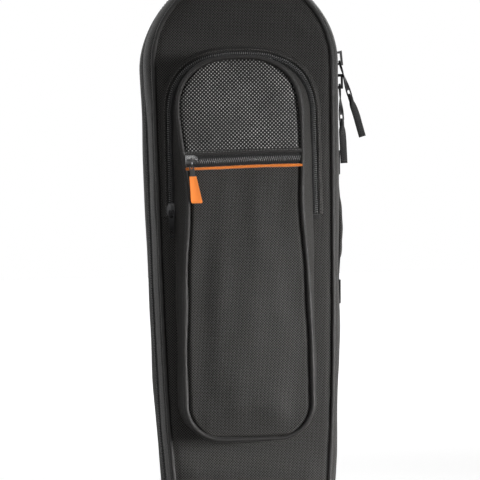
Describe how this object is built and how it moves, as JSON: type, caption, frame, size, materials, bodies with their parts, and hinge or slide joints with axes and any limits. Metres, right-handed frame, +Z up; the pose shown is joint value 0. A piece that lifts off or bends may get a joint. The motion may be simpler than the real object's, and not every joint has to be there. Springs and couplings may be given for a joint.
{
  "type": "music stand bag",
  "caption": "Padded upright carry bag for a folded music stand: zip-round lid on a fabric hinge, gusseted front pocket with fold-down flap, slash pocket and side handle.",
  "frame": {"origin": "centre of the rear shell's flat foot, on the surface that the bag stands on", "axes": "+Z up along the bag, +Y from the front pocket to the back panel, +X to the hinge side"},
  "size_m": [0.2208, 0.1327, 0.555],
  "materials": {
    "shell_fabric": "plain woven black nylon",
    "mesh_fabric": "coarse black and grey basket weave",
    "lining_fabric": "smooth dark grey lining",
    "foam": "closed-cell foam",
    "piping": "black fabric-covered cord",
    "zip_tape": "black zip tape with a nylon coil",
    "webbing": "black woven webbing",
    "black_metal": "black enamelled zinc",
    "gunmetal": "bright nickel-plated zinc",
    "orange_fabric": "orange fabric-covered cord",
    "orange_rubber": "moulded soft orange plastic"
  },
  "bodies": {
    "rear_shell": {"rear_cover": "shell_fabric", "rear_foam": "foam", "rear_lining": "lining_fabric", "rear_piping": "piping", "rear_gusset": "shell_fabric", "rear_gusset_lining": "lining_fabric", "main_zip_rear_tape": "zip_tape"},
    "lid": {"front_cover": "shell_fabric", "front_foam": "foam", "front_lining": "lining_fabric", "front_piping": "piping", "front_gusset": "shell_fabric", "front_gusset_lining": "lining_fabric", "hinge_gusset": "shell_fabric", "hinge_gusset_lining": "lining_fabric", "main_zip_front_tape": "zip_tape", "main_zip_end_tab_top": "webbing", "main_zip_end_tab_low": "webbing", "pocket_face_lower": "shell_fabric", "pocket_gusset_lower": "shell_fabric", "pocket_piping_lower": "piping", "pocket_zip_lid_tape": "zip_tape", "pocket_zip_end_left": "webbing", "pocket_zip_end_right": "webbing", "handle_strap": "webbing", "handle_grip": "shell_fabric", "handle_patch_low": "webbing", "handle_patch_high": "webbing"},
    "pocket_flap": {"pocket_face_upper": "shell_fabric", "pocket_mesh_panel": "mesh_fabric", "pocket_gusset_upper": "shell_fabric", "pocket_piping_upper": "piping", "pocket_zip_flap_tape": "zip_tape", "slash_zip_upper_tape": "zip_tape", "slash_zip_lower_tape": "zip_tape", "slash_piping": "orange_fabric", "slash_pocket_lining": "lining_fabric"},
    "upper_slider": {"main_slider_upper": "black_metal"},
    "upper_pull": {"main_pull_tab_upper": "black_metal", "main_pull_strap_upper": "webbing"},
    "lower_slider": {"main_slider_lower": "black_metal"},
    "lower_pull": {"main_pull_tab_lower": "black_metal", "main_pull_strap_lower": "webbing"},
    "pocket_runner": {"pocket_slider": "black_metal"},
    "pocket_pull": {"pocket_pull_tab": "black_metal"},
    "slash_runner": {"slash_slider": "gunmetal"},
    "slash_pull": {"slash_pull_link": "gunmetal", "slash_pull_grip": "orange_rubber"}
  },
  "joints": [
    {"name": "lid_hinge", "type": "hinge", "parent": "rear_shell", "child": "lid", "pos_m": [0.0871, 0.0255, 0.245], "axis": [0, 0, 1], "range_deg": [0, 112], "deforming": ["main_zip_front_tape", "main_zip_rear_tape"]},
    {"name": "upper_slider_run", "type": "hinge", "parent": "lid", "child": "upper_slider", "pos_m": [0, -0.021, 0.458], "axis": [0, -1, 0], "range_deg": [0, 170]},
    {"name": "upper_pull_swing", "type": "hinge", "parent": "upper_slider", "child": "upper_pull", "pos_m": [0.10081, -0.021, 0.46209], "axis": [0, -1, 0], "range_deg": [0, 120]},
    {"name": "lower_slider_run", "type": "slide", "parent": "lid", "child": "lower_slider", "axis": [0, 0, -1], "range_m": [0, 0.0025]},
    {"name": "lower_pull_swing", "type": "hinge", "parent": "lower_slider", "child": "lower_pull", "pos_m": [0.1006, -0.021, 0.4388], "axis": [0, -1, 0], "range_deg": [-2, 10]},
    {"name": "pocket_flap_fold", "type": "hinge", "parent": "lid", "child": "pocket_flap", "pos_m": [-0.003, -0.099, 0.308], "axis": [1, 0, 0], "range_deg": [0, 80], "deforming": ["pocket_zip_lid_tape", "pocket_zip_flap_tape"]},
    {"name": "pocket_slider_run", "type": "slide", "parent": "lid", "child": "pocket_runner", "axis": [0, 0, 1], "range_m": [0, 0.085]},
    {"name": "pocket_pull_swing", "type": "hinge", "parent": "pocket_runner", "child": "pocket_pull", "pos_m": [-0.0735, -0.07653, 0.3148], "axis": [-1, 0, 0], "range_deg": [-3, 150]},
    {"name": "slash_slider_run", "type": "slide", "parent": "pocket_flap", "child": "slash_runner", "axis": [1, 0, 0], "range_m": [0, 0.1]},
    {"name": "slash_pull_swing", "type": "hinge", "parent": "slash_runner", "child": "slash_pull", "pos_m": [-0.0543, -0.1025, 0.363], "axis": [-1, 0, 0], "range_deg": [-3, 120]}
  ]
}
